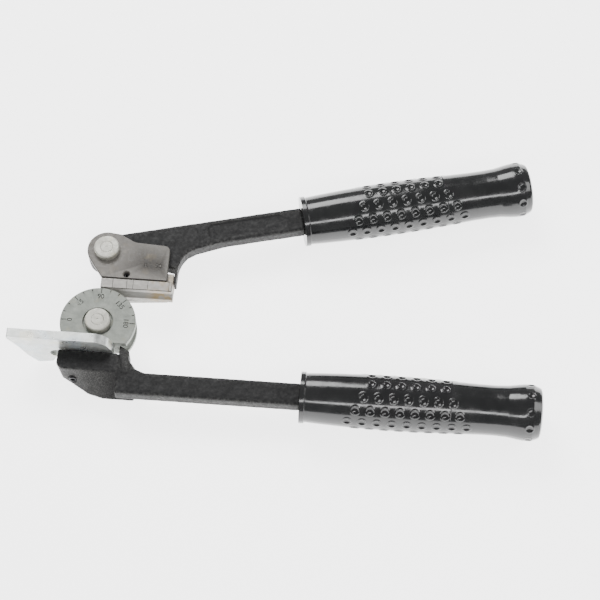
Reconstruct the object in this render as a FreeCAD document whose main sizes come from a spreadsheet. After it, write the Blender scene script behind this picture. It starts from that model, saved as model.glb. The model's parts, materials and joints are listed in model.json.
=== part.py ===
import FreeCAD, Part
import os
import re
import Sketcher
from FreeCAD import Placement, Rotation, Vector

# Lever tube bender for 1/4 inch tube.  Millimetres.
# Origin: on the bend axis, in the plane that the tool lies on.  +X runs along the form handle,
# +Z points out of the dial face.

SIZES = {
    # levels and fits
    "axis_height": 14.0,         # handle axes and tube mid-plane above the resting plane
    "running_fit": 0.04,         # radial play of a pin in its bush
    "play": 0.1,                 # end play between stacked moving pieces
    # forming wheel
    "wheel_radius": 19.0,        # bend radius, to the tube's centre line
    "wheel_thickness": 12.0,
    "tube_radius": 3.175,
    "groove_play": 0.05,
    "wheel_flat": 11.2,          # bend axis to the flat under the wheel
    "counterbore_radius": 7.6,
    "counterbore_depth": 1.5,
    "saddle_inset": 0.4,         # saddle edge inside the wheel's flat
    "saddle_thickness": 2.6,
    "wheel_screw_radius": 1.5,
    "wheel_screw_head": 2.9,
    "wheel_screw_length": 8.0,
    # pins
    "pin_radius": 4.0,
    "bush_wall": 1.4,
    "head_radius": 6.4,
    "head_rise": 2.5,            # main pin head above the wheel face
    "handle_head_rise": 3.0,     # handle pin head above the ear
    "head_chamfer": 0.6,
    "collar_radius": 7.0,
    "collar_thickness": 2.4,
    "handle_collar_radius": 5.6,
    # bend axis to each wheel screw: midway from the pin bore to the saddle's edge
    "wheel_screw_place": "=(pin_radius + wheel_flat - saddle_inset) / 2",
    # link and shoe
    "link_length": 41.0,         # bend axis to handle pin
    "link_thickness": 3.1,
    "link_boss": 9.0,
    "washer_thickness": 0.8,
    "lobe_radius": 10.0,         # round of the ear
    "link_lobe": 5.8,            # round of the link plate at the handle pin
    "shoe_length": 35.0,
    "shoe_left": 1.0,            # handle pin line to the shoe's left end
    "shoe_gap": 0.3,             # rail face to wheel rim
    "rail_depth": 5.5,
    "rail_width": 12.0,
    "ear_thickness": 2.2,
    "ear_length": 32.0,
    "ear_height": 45.2,
    "ear_corner": 3.5,
    "web_play": 0.7,             # handle boss to the shoe's web
    "set_screw_radius": 1.5,
    "set_screw_x": 11.3,
    "set_screw_length": 4.0,
    "shoe_screw_radius": 1.5,
    "shoe_screw_head": 2.9,
    "shoe_screw_length": 9.0,
    "shoe_screw_inset": 4.5,
    # handles
    "arm_thickness": 7.2,
    "form_arm_offset": 31.2,     # bend axis to the form arm's centre line
    "form_arm_width": 12.3,
    "shoe_arm_offset": 2.5,      # handle pin to the shoe arm's centre line
    "shoe_arm_width": 13.5,
    "shoe_arm_angle": 14.0,
    "boss_radius": 9.8,
    "heel_play": 0.2,            # heel face to the shoe's end
    "heel_width": 1.4,
    "heel_tip": 25.6,            # bend axis level of the heel's tip
    "heel_corner": 5.0,
    "arm_edge": 1.2,             # rounding of the arms' long edges
    # form handle head
    "head_left": 18.0,
    "head_right": 11.5,
    "head_near": 16.7,           # lug face next to the latch
    "head_front": 27.0,
    "head_top": 20.0,
    "head_bottom": 8.6,
    "neck_left": 12.2,
    "neck_right": 17.5,
    "neck_top": 18.0,
    "neck_fillet": 8.0,
    # latch
    "latch_thickness": 4.8,
    "latch_play": 0.15,
    "latch_pin_x": 9.5,
    "latch_pin_z": 12.3,
    "latch_pin_radius": 2.0,
    "latch_pin_wall": 0.7,
    "latch_pin_fit": 0.05,
    "latch_pin_proud": 2.4,      # pin end beyond the lug's front
    "latch_length": 43.0,
    "latch_top": 29.0,
    "latch_reach": 9.6,
    # grips
    "grip_length": 119.0,
    "grip_radius": 14.0,         # at the flared end, which the tool lies on
    "barrel_radius": 13.5,
    "grip_collar_radius": 12.8,
    "grip_collar_width": 2.5,
    "grip_root_radius": 12.2,
    "grip_neck_radius": 12.4,
    "form_grip_start": 103.5,    # bend axis to the form grip's collar
    "shoe_grip_start": 101.0,    # handle pin to the shoe grip's collar
    "tang_length": 96.0,
    "tang_width": 9.0,
    "tang_thickness": 5.5,
}

WHEEL_FRONT = "(axis_height + wheel_thickness / 2)"
WHEEL_BACK = "(axis_height - wheel_thickness / 2)"
ARM_BACK = "(axis_height - arm_thickness / 2)"
ARM_FRONT = "(axis_height + arm_thickness / 2)"
LINK_FRONT = f"({WHEEL_BACK} - washer_thickness - play)"
LINK_BACK = f"({LINK_FRONT} - link_thickness)"
SEAT_LEVEL = f"({WHEEL_FRONT} - counterbore_depth)"
BUSH_RADIUS = "(pin_radius + bush_wall)"
BUSH_BORE = "(pin_radius + running_fit)"
RAIL_FACE = "(wheel_radius + shoe_gap)"
RAIL_TOP = f"({RAIL_FACE} + rail_depth)"
WEB_TOP = "(link_length - boss_radius - web_play)"
SCREW_ROW = f"(({RAIL_TOP} + {WEB_TOP}) / 2)"
LATCH_FAR = "(wheel_flat + latch_play)"
SADDLE_RADIUS = "(wheel_flat - saddle_inset)"
SADDLE_FRONT = f"({WHEEL_BACK} + saddle_thickness)"

document = FreeCAD.newDocument("tube_bender")
sheet = document.addObject("Spreadsheet::Sheet", "Sizes")
for row, (alias, size) in enumerate(SIZES.items(), start=1):
    sheet.set(f"A{row}", alias)
    sheet.set(f"B{row}", str(size))
    sheet.setAlias(f"B{row}", alias)
document.recompute()

ALIAS = re.compile(r"\b(" + "|".join(sorted(SIZES, key=len, reverse=True)) + r")\b")
sub_parts = []


def bound(text):
    """The expression that reads the named sizes from the sheet."""
    return ALIAS.sub(r"Sizes.\1", str(text))


def value(text):
    """What an expression of named sizes comes to now."""
    return float(sheet.evalExpression(bound(text)))


def new_body(label, x="0", y="0", z="0", angle="0"):
    body = document.addObject("PartDesign::Body", label)
    body.Label = label
    body.Placement = Placement(Vector(value(x), value(y), value(z)), Rotation(Vector(0, 0, 1), value(angle)))
    for axis, text in (("x", x), ("y", y), ("z", z)):
        body.setExpression(f"Placement.Base.{axis}", bound(text))
    if angle != "0":
        body.setExpression("Placement.Rotation.Angle", f"{bound(angle)} * 1 deg")
    sub_parts.append(body)
    return body


def new_sketch(body, name, plane, offset):
    sketch = body.newObject("Sketcher::SketchObject", name)
    support = next(item for item in body.Origin.OriginFeatures if item.Role == plane)
    sketch.AttachmentSupport = [(support, "")]
    sketch.MapMode = "FlatFace"
    sketch.setExpression("AttachmentOffset.Base.z", bound(offset))
    return sketch


def hold_point(sketch, geometry, vertex, x, y):
    """Bind one sketch point to a place worked out from the sheet."""
    for kind, text in (("DistanceX", x), ("DistanceY", y)):
        index = sketch.addConstraint(Sketcher.Constraint(kind, -1, 1, geometry, vertex, value(text)))
        sketch.setExpression(f"Constraints[{index}]", bound(text))


def polygon(body, name, plane, offset, corners):
    sketch = new_sketch(body, name, plane, offset)
    places = [Vector(value(x), value(y), 0) for x, y in corners]
    count = len(places)
    for index in range(count):
        sketch.addGeometry(Part.LineSegment(places[index], places[(index + 1) % count]), False)
    for index in range(count):
        sketch.addConstraint(Sketcher.Constraint("Coincident", index, 2, (index + 1) % count, 1))
    for index, (x, y) in enumerate(corners):
        hold_point(sketch, index, 1, x, y)
    return sketch


def rectangle(body, name, plane, offset, left, right, low, high):
    corners = [(left, low), (right, low), (right, high), (left, high)]
    return polygon(body, name, plane, offset, corners)


def circles(body, name, plane, offset, rounds):
    """A sketch of circles, each given as (x, y, radius)."""
    sketch = new_sketch(body, name, plane, offset)
    for index, (x, y, radius) in enumerate(rounds):
        centre = Vector(value(x), value(y), 0)
        sketch.addGeometry(Part.Circle(centre, Vector(0, 0, 1), value(radius)), False)
        hold_point(sketch, index, 3, x, y)
        held = sketch.addConstraint(Sketcher.Constraint("Radius", index, value(radius)))
        sketch.setExpression(f"Constraints[{held}]", bound(radius))
    return sketch


def pad(body, sketch, length):
    feature = body.newObject("PartDesign::Pad", f"{sketch.Name}_pad")
    feature.Profile = sketch
    feature.setExpression("Length", bound(length))
    document.recompute()
    return feature


def pocket(body, sketch, length, reverse=False):
    """Cut along the sketch's normal when reverse is set, and check that something was cut."""
    before = body.Shape.Volume
    feature = body.newObject("PartDesign::Pocket", f"{sketch.Name}_pocket")
    feature.Profile = sketch
    feature.setExpression("Length", bound(length))
    feature.Reversed = reverse
    document.recompute()
    if body.Shape.Volume >= before - 1e-6:
        raise RuntimeError(f"{feature.Name} cuts nothing")
    return feature


def loft(body, first, second):
    feature = body.newObject("PartDesign::AdditiveLoft", f"{first.Name}_loft")
    feature.Profile = first
    feature.Sections = [second]
    feature.Ruled = True
    document.recompute()
    return feature


def turned(label, profile, x="0", y="0", z="0"):
    """A body turned about +Z from (radius, level) points."""
    body = new_body(label, x, y, z)
    spin(body, polygon(body, f"{label}_profile", "XZ_Plane", "0", profile), "V_Axis")
    return body


def spin(body, sketch, axis, kind="PartDesign::Revolution"):
    feature = body.newObject(kind, f"{sketch.Name}_turn")
    feature.Profile = sketch
    feature.ReferenceAxis = (sketch, [axis])
    feature.Angle = 360
    document.recompute()
    return feature


def edges_where(body, test):
    """Names of the straight edges of a body that pass the test on (centre, direction)."""
    names = []
    for index, edge in enumerate(body.Tip.Shape.Edges, start=1):
        if edge.Curve.TypeId != "Part::GeomLine":
            continue
        start, end = edge.Vertexes[0].Point, edge.Vertexes[-1].Point
        if test((start + end) / 2, (end - start).normalize()):
            names.append(f"Edge{index}")
    return names


def fillet(body, name, radius, test):
    base = body.Tip
    names = edges_where(body, test)
    if not names:
        raise RuntimeError(f"{name} finds no edge")
    feature = body.newObject("PartDesign::Fillet", name)
    feature.Base = (base, names)
    feature.setExpression("Radius", bound(radius))
    document.recompute()
    return feature


def upright_near(spots, reach=0.6):
    """A test for edges along Z that stand at one of the given places."""
    places = [(value(x), value(y)) for x, y in spots]

    def test(centre, direction):
        upright = abs(direction.z) > 0.99
        return upright and any(abs(centre.x - x) < reach and abs(centre.y - y) < reach for x, y in places)

    return test


def ring_profile(inner, outer, low, high):
    return [(inner, low), (outer, low), (outer, high), (inner, high)]


def screw_profile(radius, head, low, length):
    """Half section of a flat-head screw whose head is flush with its low end."""
    cone_top = f"({low} + {head} - {radius})"
    tip = f"{low} + {length}"
    return [("0", low), (head, low), (radius, cone_top), (radius, tip), ("0", tip)]


def countersink(body, name, x, y, radius, head, low, high):
    """Cut the through seat of a flat-head screw whose head is flush with the low face."""
    cone_edge = f"({x}) + {radius}"
    sink = polygon(body, f"{name}_sink", "XZ_Plane", f"-({y})", [
        (x, low), (f"({x}) + {head}", low), (cone_edge, f"{low} + {head} - {radius}"),
        (cone_edge, high), (x, high)])
    spin(body, sink, "Edge5", "PartDesign::Groove")


def pin_profile(low, seat, top):
    """Half section of a headed pin: shank from low to seat, chamfered head from seat to top."""
    return [("0", low), ("pin_radius", low), ("pin_radius", seat), ("head_radius", seat),
            ("head_radius", f"{top} - head_chamfer"), ("head_radius - head_chamfer", top), ("0", top)]


# ---- forming wheel and main pin -------------------------------------------------------------

WEB_RIGHT = "neck_right - 2.8"
WEB_FOOT = "-wheel_flat - 3.2"
SADDLE_WEB = [("4", "0"), ("4", "-wheel_flat"), ("neck_left", "-wheel_flat"), ("neck_left", WEB_FOOT),
              (WEB_RIGHT, WEB_FOOT), (WEB_RIGHT, "-wheel_flat"), ("12", "0")]
WHEEL_SCREWS = [("-wheel_screw_place", "0"), ("0", "wheel_screw_place")]


def forming_wheel():
    body = turned("forming_wheel", [("0", WHEEL_BACK), ("wheel_radius", WHEEL_BACK),
                                    ("wheel_radius", WHEEL_FRONT), ("0", WHEEL_FRONT)])
    groove = circles(body, "tube_groove", "XZ_Plane", "0",
                     [("wheel_radius", "axis_height", "tube_radius + groove_play")])
    spin(body, groove, "V_Axis", "PartDesign::Groove")
    flat = rectangle(body, "wheel_flat_cut", "XY_Plane", WHEEL_BACK,
                     "-wheel_radius", "wheel_radius", "-wheel_radius - 1", "-wheel_flat")
    pocket(body, flat, "wheel_thickness", reverse=True)
    pocket(body, circles(body, "seat_recess", "XY_Plane", SEAT_LEVEL, [("0", "0", "counterbore_radius")]),
           "counterbore_depth", reverse=True)
    pocket(body, circles(body, "saddle_recess", "XY_Plane", WHEEL_BACK, [("0", "0", SADDLE_RADIUS)]),
           "saddle_thickness", reverse=True)
    pocket(body, polygon(body, "saddle_web_recess", "XY_Plane", WHEEL_BACK, SADDLE_WEB),
           "saddle_thickness", reverse=True)
    pocket(body, circles(body, "pin_bore", "XY_Plane", WHEEL_BACK, [("0", "0", "pin_radius")]),
           "wheel_thickness", reverse=True)
    holes = [(x, y, "wheel_screw_radius") for x, y in WHEEL_SCREWS]
    pocket(body, circles(body, "wheel_screw_holes", "XY_Plane", WHEEL_BACK, holes),
           "wheel_screw_length", reverse=True)


def screw_group(label, places, radius, head, low, length):
    """Flat-head screws of one size as separate solids of one sub-part."""
    solids = []
    for number, (x, y) in enumerate(places, start=1):
        sub_parts_before = len(sub_parts)
        screw = turned(f"{label}_{number}", screw_profile(radius, head, "0", length), x, y, low)
        del sub_parts[sub_parts_before:]
        solids.append(screw)
    group = document.addObject("Part::Compound", label)
    group.Label = label
    group.Links = solids
    document.recompute()
    sub_parts.append(group)


def main_pin():
    turned("main_pin", pin_profile("0", SEAT_LEVEL, f"({WHEEL_FRONT} + head_rise)"))
    turned("main_collar", ring_profile("pin_radius", "collar_radius", "0", f"{LINK_BACK} - play"))
    turned("thrust_washer", ring_profile("pin_radius", "collar_radius", f"{WHEEL_BACK} - washer_thickness",
                                         WHEEL_BACK))


# ---- form handle ----------------------------------------------------------------------------

def form_handle():
    body = new_body("form_handle")
    arm_near = "-form_arm_offset + form_arm_width / 2"
    arm_far = "-form_arm_offset - form_arm_width / 2"
    arm = rectangle(body, "form_arm", "XY_Plane", ARM_BACK, "neck_left", "form_grip_start", arm_far, arm_near)
    pad(body, arm, "arm_thickness")

    def long_edge(centre, direction):
        return abs(direction.x) > 0.99

    fillet(body, "form_arm_edges", "arm_edge", long_edge)
    foot = polygon(body, "head_foot", "XY_Plane", "head_bottom", [
        ("-head_left + 1", "-head_near"), ("neck_right + 1", "-head_near"), ("neck_right + 7", arm_near),
        ("neck_right + 4", arm_far), ("6", arm_far), ("-2", f"{arm_far} + 2.2"), ("-8", f"{arm_far} + 6.1"),
        ("-head_left + 3", "-head_front"), ("-head_left + 1", "-head_front + 3.5")])
    crown = polygon(body, "head_crown", "XY_Plane", "head_top", [
        ("-head_left", "-head_near"), ("head_right", "-head_near"), ("head_right + 1.5", "-head_front + 3"),
        ("head_right", "-head_front"), ("6", "-head_front"), ("0", "-head_front"), ("-6", "-head_front"),
        ("-head_left + 2.5", "-head_front"), ("-head_left", "-head_front + 2.5")])
    loft(body, foot, crown)
    neck = polygon(body, "neck", "XY_Plane", WHEEL_BACK, [
        ("neck_left", "-wheel_flat"), ("neck_right", "-wheel_flat - 3"),
        ("neck_right", f"{arm_near} - 1"), ("neck_left", f"{arm_near} - 1")])
    pad(body, neck, f"neck_top - {WHEEL_BACK}")
    root_end = "neck_right + neck_fillet"
    root_top = f"{arm_near} + neck_fillet * 0.8"
    root = polygon(body, "neck_root", "XY_Plane", ARM_BACK, [
        ("neck_right - 1", f"{arm_near} - 1"), (root_end, f"{arm_near} - 1"), (root_end, arm_near),
        ("neck_right + neck_fillet * 0.35", f"{arm_near} + neck_fillet * 0.25"),
        ("neck_right", root_top), ("neck_right - 1", root_top)])
    pad(body, root, "arm_thickness")
    saddle = circles(body, "saddle", "XY_Plane", WHEEL_BACK, [("0", "0", SADDLE_RADIUS)])
    pad(body, saddle, "saddle_thickness")
    pad(body, polygon(body, "saddle_web", "XY_Plane", WHEEL_BACK, SADDLE_WEB), "saddle_thickness")
    tang = rectangle(body, "form_tang", "YZ_Plane", "form_grip_start",
                     "-form_arm_offset - tang_width / 2", "-form_arm_offset + tang_width / 2",
                     "axis_height - tang_thickness / 2", "axis_height + tang_thickness / 2")
    pad(body, tang, "tang_length")
    pocket(body, circles(body, "saddle_bore", "XY_Plane", WHEEL_BACK, [("0", "0", "pin_radius")]),
           "saddle_thickness", reverse=True)
    for number, (x, y) in enumerate(WHEEL_SCREWS, start=1):
        countersink(body, f"wheel_screw_{number}", x, y, "wheel_screw_radius", "wheel_screw_head",
                    WHEEL_BACK, SADDLE_FRONT)
    pin_hole = circles(body, "latch_pin_hole", "XZ_Plane", "head_near - 1",
                       [("-latch_pin_x", "latch_pin_z", "latch_pin_radius")])
    pocket(body, pin_hole, "form_arm_width * 2", reverse=True)


# ---- latch ----------------------------------------------------------------------------------

def latch():
    body = new_body("latch")
    seat = "tube_radius + groove_play"
    outline = polygon(body, "latch_outline", "XZ_Plane", LATCH_FAR, [
        ("-latch_length", "latch_top"), ("-latch_length", "latch_top - 1.4"),
        ("-latch_length + 5.5", "axis_height + 4"), ("-latch_length + 8.5", "axis_height - 4"),
        ("-latch_length + 14", "axis_height - 11"),
        ("-wheel_radius - 2.5", "axis_height - 9"), ("-wheel_radius", f"axis_height - {seat}"),
        ("-wheel_radius", f"axis_height + {seat}"), ("-latch_pin_x - 4.5", f"axis_height + {seat}"),
        ("-latch_pin_x - 4.5", "latch_pin_z - 2.5"), ("-latch_pin_x - 2", "latch_pin_z - 4.6"),
        ("-latch_pin_x + 3", "latch_pin_z - 4.6"), ("latch_reach", "axis_height + 2"),
        ("latch_reach - 0.6", "axis_height + 6.5"), ("latch_reach - 3", "latch_top - 3.2"),
        ("latch_reach - 7", "latch_top")])
    pad(body, outline, "latch_thickness")
    tube_seat = circles(body, "tube_seat", "XZ_Plane", LATCH_FAR, [("-wheel_radius", "axis_height", seat)])
    pocket(body, tube_seat, "latch_thickness", reverse=True)
    bore = circles(body, "latch_bore", "XZ_Plane", LATCH_FAR,
                   [("-latch_pin_x", "latch_pin_z", "latch_pin_radius + latch_pin_fit")])
    pocket(body, bore, "latch_thickness", reverse=True)


def latch_pin():
    body = new_body("latch_pin")
    ring = circles(body, "latch_pin_section", "XZ_Plane", LATCH_FAR,
                   [("-latch_pin_x", "latch_pin_z", "latch_pin_radius"),
                    ("-latch_pin_x", "latch_pin_z", "latch_pin_radius - latch_pin_wall")])
    pad(body, ring, f"head_front + latch_pin_proud - {LATCH_FAR}")


# ---- link and shoe --------------------------------------------------------------------------

EAR_BACK = f"({WHEEL_FRONT} - ear_thickness)"
SHOE_SCREWS = [("shoe_screw_inset", SCREW_ROW), ("ear_length - shoe_screw_inset - 2", SCREW_ROW)]


def link_plate():
    body = new_body("link_plate")
    web = polygon(body, "link_web", "XY_Plane", LINK_BACK, [
        ("-link_boss", "0"), ("link_boss", "0"), ("link_boss + 1.5", RAIL_FACE),
        ("ear_length", f"{RAIL_FACE} + 1.8"), ("ear_length", WEB_TOP), ("link_lobe", "link_length"),
        ("-link_lobe", "link_length"), ("0.5", WEB_TOP), ("0.5", RAIL_TOP),
        ("-link_boss + 3", f"{RAIL_FACE} - 1")])
    pad(body, web, "link_thickness")
    rounds = [("0", "0", "link_boss"), ("0", "link_length", "link_lobe")]
    pad(body, circles(body, "link_rounds", "XY_Plane", LINK_BACK, rounds), "link_thickness")
    bores = [("0", "0", BUSH_RADIUS), ("0", "link_length", "pin_radius")]
    pocket(body, circles(body, "link_bores", "XY_Plane", LINK_BACK, bores), "link_thickness", reverse=True)
    for number, (x, y) in enumerate(SHOE_SCREWS, start=1):
        countersink(body, f"shoe_screw_{number}", x, y, "shoe_screw_radius", "shoe_screw_head",
                    LINK_BACK, LINK_FRONT)


def slide_shoe():
    body = new_body("slide_shoe")
    rail = rectangle(body, "rail", "YZ_Plane", "-shoe_left", RAIL_FACE, RAIL_TOP,
                     "axis_height - rail_width / 2", "axis_height + rail_width / 2")
    pad(body, rail, "shoe_length + shoe_left")
    web = rectangle(body, "shoe_web", "XY_Plane", LINK_FRONT, "-shoe_left", "shoe_length", RAIL_TOP, WEB_TOP)
    pad(body, web, f"{EAR_BACK} - {LINK_FRONT}")
    ear_foot = f"{RAIL_TOP} + 0.4"
    ear = polygon(body, "ear", "XY_Plane", EAR_BACK, [
        ("-shoe_left", ear_foot), ("ear_length", ear_foot), ("ear_length", "ear_height"),
        ("ear_length - 18", "ear_height + 1"), ("lobe_radius * 0.9", "link_length + lobe_radius * 0.88"),
        ("lobe_radius * 0.2", "link_length + lobe_radius * 0.98"),
        ("-lobe_radius * 0.8", "link_length - lobe_radius * 0.6")])
    pad(body, ear, "ear_thickness")
    lobe = circles(body, "ear_lobe", "XY_Plane", EAR_BACK, [("0", "link_length", "lobe_radius")])
    pad(body, lobe, "ear_thickness")
    fillet(body, "ear_corner_round", "ear_corner", upright_near([("ear_length", "ear_height")]))
    channel = circles(body, "shoe_channel", "YZ_Plane", "-shoe_left",
                      [("wheel_radius", "axis_height", "tube_radius + groove_play")])
    pocket(body, channel, "shoe_length + shoe_left", reverse=True)
    pin_bore = circles(body, "ear_bore", "XY_Plane", EAR_BACK, [("0", "link_length", "pin_radius")])
    pocket(body, pin_bore, "ear_thickness", reverse=True)
    holes = [(x, y, "shoe_screw_radius") for x, y in SHOE_SCREWS]
    pocket(body, circles(body, "shoe_screw_holes", "XY_Plane", LINK_FRONT, holes),
           "shoe_screw_length - link_thickness", reverse=True)
    set_hole = circles(body, "set_screw_hole", "XY_Plane", "axis_height",
                       [("set_screw_x", SCREW_ROW, "set_screw_radius")])
    pocket(body, set_hole, f"{WHEEL_FRONT} - axis_height", reverse=True)


def shoe_link_hardware():
    link_y = "link_length"
    screw_group("shoe_screws", SHOE_SCREWS, "shoe_screw_radius", "shoe_screw_head", LINK_BACK,
                "shoe_screw_length")
    turned("set_screw", [("0", "axis_height"), ("set_screw_radius", "axis_height"),
                         ("set_screw_radius", "axis_height + set_screw_length"),
                         ("0", "axis_height + set_screw_length")], "set_screw_x", SCREW_ROW)
    turned("main_bush", ring_profile(BUSH_BORE, BUSH_RADIUS, LINK_BACK, LINK_FRONT))
    turned("handle_pin", pin_profile(f"{LINK_BACK} - collar_thickness", WHEEL_FRONT,
                                     f"({WHEEL_FRONT} + handle_head_rise)"), "0", link_y)
    turned("handle_collar", ring_profile("pin_radius", "handle_collar_radius",
                                         f"{LINK_BACK} - collar_thickness", LINK_BACK), "0", link_y)
    turned("handle_spacer", ring_profile("pin_radius", "handle_collar_radius", LINK_FRONT,
                                         f"{ARM_BACK} - play"), "0", link_y)


# ---- shoe handle ----------------------------------------------------------------------------

def along_arm(x, y):
    """A place given from the bend axis with the tool closed, as seen from the pin along the arm."""
    lift = f"(({y}) - link_length)"
    turn = "shoe_arm_angle"
    return (f"(({x}) * cos({turn}) + {lift} * sin({turn}))", f"({lift} * cos({turn}) - ({x}) * sin({turn}))")


def shoe_handle():
    body = new_body("shoe_handle", "0", "link_length", "0", "shoe_arm_angle")
    top = "shoe_arm_offset + shoe_arm_width / 2"
    low = "shoe_arm_offset - shoe_arm_width / 2"
    heel_face = "shoe_length + heel_play"
    heel_back = f"{heel_face} + heel_width"
    outline = polygon(body, "shoe_arm", "XY_Plane", ARM_BACK, [
        ("0", "boss_radius * 0.94"), ("boss_radius * 0.9", top), ("shoe_grip_start", top),
        ("shoe_grip_start", low), ("shoe_length + 22", low), ("shoe_length + 16", f"{low} - 0.8"),
        along_arm(f"{heel_back} + 8", "link_length + 5"),
        along_arm(f"{heel_back} + 4.2", "link_length + 2.6"),
        along_arm(f"{heel_back} + 1.8", "link_length - 0.8"),
        along_arm(f"{heel_back} + 0.5", "link_length - 4.6"),
        along_arm(heel_back, "link_length - 8"),
        along_arm(heel_back, "heel_tip"),
        along_arm(heel_face, "heel_tip"),
        along_arm(heel_face, "link_length - 7"),
        along_arm(f"{heel_face} - heel_corner", f"{WEB_TOP} + 4.5"),
        along_arm("12", f"{WEB_TOP} + 1.6"), ("0", "-boss_radius * 0.94")])
    pad(body, outline, "arm_thickness")
    boss = circles(body, "handle_boss", "XY_Plane", ARM_BACK, [("0", "0", "boss_radius")])
    pad(body, boss, "arm_thickness")
    arm_top, arm_low = value(top), value(low)

    def long_edge(centre, direction):
        outer = min(abs(centre.y - arm_top), abs(centre.y - arm_low)) < 0.01
        return abs(direction.x) > 0.999 and outer

    fillet(body, "shoe_arm_edges", "arm_edge", long_edge)
    tang = rectangle(body, "shoe_tang", "YZ_Plane", "shoe_grip_start",
                     "shoe_arm_offset - tang_width / 2", "shoe_arm_offset + tang_width / 2",
                     "axis_height - tang_thickness / 2", "axis_height + tang_thickness / 2")
    pad(body, tang, "tang_length")
    pocket(body, circles(body, "handle_bore", "XY_Plane", ARM_BACK, [("0", "0", BUSH_RADIUS)]),
           "arm_thickness", reverse=True)
    turned("handle_bush", ring_profile(BUSH_BORE, BUSH_RADIUS, ARM_BACK, ARM_FRONT), "0", "link_length")


# ---- grips ----------------------------------------------------------------------------------

def grip(label, x, y, z, angle):
    """A moulded grip along +X of its own frame: collar, swelling barrel, neck and flared end."""
    body = new_body(label, x, y, z, angle)
    profile = polygon(body, f"{label}_profile", "XY_Plane", "0", [
        ("0", "0"), ("0", "grip_collar_radius"), ("grip_collar_width", "grip_collar_radius"),
        ("grip_collar_width", "grip_root_radius"), ("grip_length * 0.15", "barrel_radius - 0.5"),
        ("grip_length * 0.38", "barrel_radius"), ("grip_length * 0.6", "barrel_radius - 0.4"),
        ("grip_length * 0.8", "grip_neck_radius"), ("grip_length * 0.84", "grip_radius - 0.4"),
        ("grip_length * 0.96", "grip_radius"), ("grip_length - 1", "grip_radius - 1.6"),
        ("grip_length", "grip_radius - 4"), ("grip_length", "0")])
    spin(body, profile, "H_Axis")
    socket = rectangle(body, f"{label}_socket", "YZ_Plane", "0", "-tang_width / 2", "tang_width / 2",
                       "-tang_thickness / 2", "tang_thickness / 2")
    pocket(body, socket, "tang_length", reverse=True)


forming_wheel()
screw_group("wheel_screws", WHEEL_SCREWS, "wheel_screw_radius", "wheel_screw_head", WHEEL_BACK,
            "wheel_screw_length")
main_pin()
form_handle()
latch()
latch_pin()
link_plate()
slide_shoe()
shoe_link_hardware()
shoe_handle()
grip("form_grip", "form_grip_start", "-form_arm_offset", "axis_height", "0")
grip("shoe_grip", "shoe_grip_start * cos(shoe_arm_angle) - shoe_arm_offset * sin(shoe_arm_angle)",
     "link_length + shoe_grip_start * sin(shoe_arm_angle) + shoe_arm_offset * cos(shoe_arm_angle)",
     "axis_height", "shoe_arm_angle")
document.recompute()

# ---- checks and files -----------------------------------------------------------------------

for item in document.Objects:
    faults = {"Invalid", "Error"} & set(item.State)
    if faults:
        raise RuntimeError(f"{item.Name}: {sorted(faults)}")
for part in sub_parts:
    if part.Shape.isNull() or not part.Shape.isValid():
        raise RuntimeError(f"{part.Label}: no valid shape")

os.makedirs("parts", exist_ok=True)
for part in sub_parts:
    part.Shape.exportStep(os.path.join("parts", f"{part.Label}.step"))
    box = part.Shape.BoundBox
    print(f"{part.Label:16s} solids {len(part.Shape.Solids)} volume {part.Shape.Volume:9.1f}  "
          f"x {box.XMin:7.1f} {box.XMax:7.1f}  y {box.YMin:7.1f} {box.YMax:7.1f}  "
          f"z {box.ZMin:6.2f} {box.ZMax:6.2f}")
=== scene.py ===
import json
import math

import bmesh
import bpy
import numpy as np
from mathutils import Matrix, Vector


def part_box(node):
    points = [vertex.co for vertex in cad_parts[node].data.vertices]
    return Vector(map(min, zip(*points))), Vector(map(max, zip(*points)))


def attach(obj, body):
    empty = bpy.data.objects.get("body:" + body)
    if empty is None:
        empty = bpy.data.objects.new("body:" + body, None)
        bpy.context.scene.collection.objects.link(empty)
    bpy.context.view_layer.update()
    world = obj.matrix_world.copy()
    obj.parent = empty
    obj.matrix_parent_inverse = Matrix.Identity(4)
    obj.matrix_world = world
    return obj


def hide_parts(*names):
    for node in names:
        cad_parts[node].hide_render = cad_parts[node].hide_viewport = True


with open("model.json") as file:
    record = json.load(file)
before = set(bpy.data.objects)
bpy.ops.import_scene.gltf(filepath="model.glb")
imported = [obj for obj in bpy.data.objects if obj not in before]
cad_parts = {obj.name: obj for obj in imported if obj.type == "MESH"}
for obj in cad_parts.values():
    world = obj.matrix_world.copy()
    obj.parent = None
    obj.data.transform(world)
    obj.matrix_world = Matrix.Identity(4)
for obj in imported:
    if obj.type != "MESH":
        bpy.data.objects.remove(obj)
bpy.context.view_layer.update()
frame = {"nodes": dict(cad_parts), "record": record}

MM = 0.001
SCENE = bpy.context.scene


# ---- places from the frame ------------------------------------------------------------------

def low(node):
    return Vector(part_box(node)[0])


def high(node):
    return Vector(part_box(node)[1])


JOINTS = {joint["name"]: joint for joint in frame["record"]["behaviour"]["joints"]}
BEND_AXIS = Vector((0, 0, 0))
HANDLE_AXIS = Vector(JOINTS["shoe_handle_swing"]["pos_m"])
LATCH_AXIS = Vector(JOINTS["latch_pivot"]["pos_m"])
WHEEL_RADIUS = 19 * MM
WHEEL_FACE = high("forming_wheel").z
WHEEL_BACK = low("forming_wheel").z
MID_LEVEL = (WHEEL_FACE + WHEEL_BACK) / 2
ARM_ANGLE = math.radians(14)
TUBE_RADIUS = 3.225 * MM
WHEEL_FLAT = 11.2 * MM
MARK_DEPTH = 0.32 * MM
RAIL_LEFT = -1.0 * MM
RAIL_HALF = 6 * MM
RAIL_DEPTH = 5.5 * MM
EAR_RIGHT = 32 * MM
EAR_THICKNESS = 2.2 * MM
EAR_FOOT = 5.95 * MM             # shoe's lower side to the foot of the ear
LOBE_RADIUS = 10 * MM
SHOE_MARK_DEPTH = 0.3 * MM
SHOE_MARKS = (5.0, 12.1, 15.3, 22.7, 33.4)   # index lines along the rail, mm
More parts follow.
